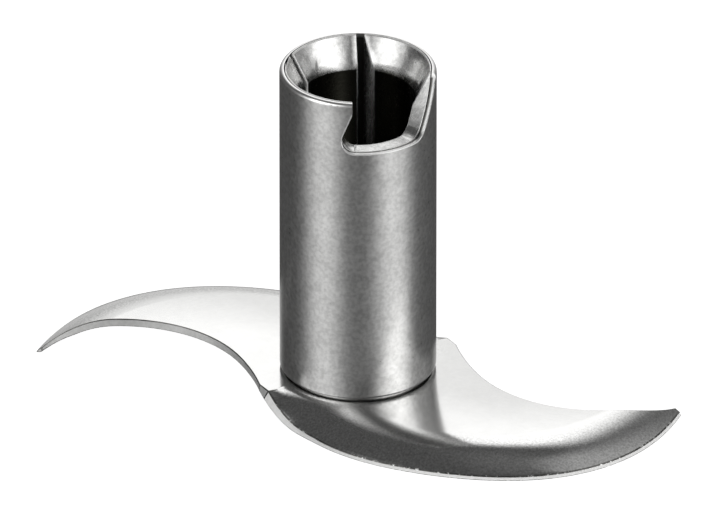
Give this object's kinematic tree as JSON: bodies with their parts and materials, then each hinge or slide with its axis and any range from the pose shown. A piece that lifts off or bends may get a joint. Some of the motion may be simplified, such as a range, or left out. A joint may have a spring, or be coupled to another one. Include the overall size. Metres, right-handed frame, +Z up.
{
  "type": "stick blender blade",
  "caption": "S-shaped pressed steel chopping blade under a tubular hub with a spring bore and a bayonet notch, which snaps onto the drive shaft of a stick blender.",
  "frame": {"origin": "on the hub's axis, level with the lowest edges of the cutter, on which the part stands", "axes": "+Z up along the hub's axis, out of its mouth; +X along the cutter's longest reach; the bayonet notch opens towards -Y and +X"},
  "size_m": [0.0454, 0.028, 0.0252],
  "materials": {
    "sleeve_steel": "satin stainless steel tube",
    "liner_steel": "plain stainless spring steel, bright mouth",
    "plug_steel": "turned stainless steel",
    "blade_steel": "polished stainless sheet with ground edges"
  },
  "bodies": {
    "root": {"hub_sleeve": "sleeve_steel", "grip_liner": "liner_steel", "base_plug": "plug_steel", "blade": "blade_steel"}
  },
  "joints": []
}
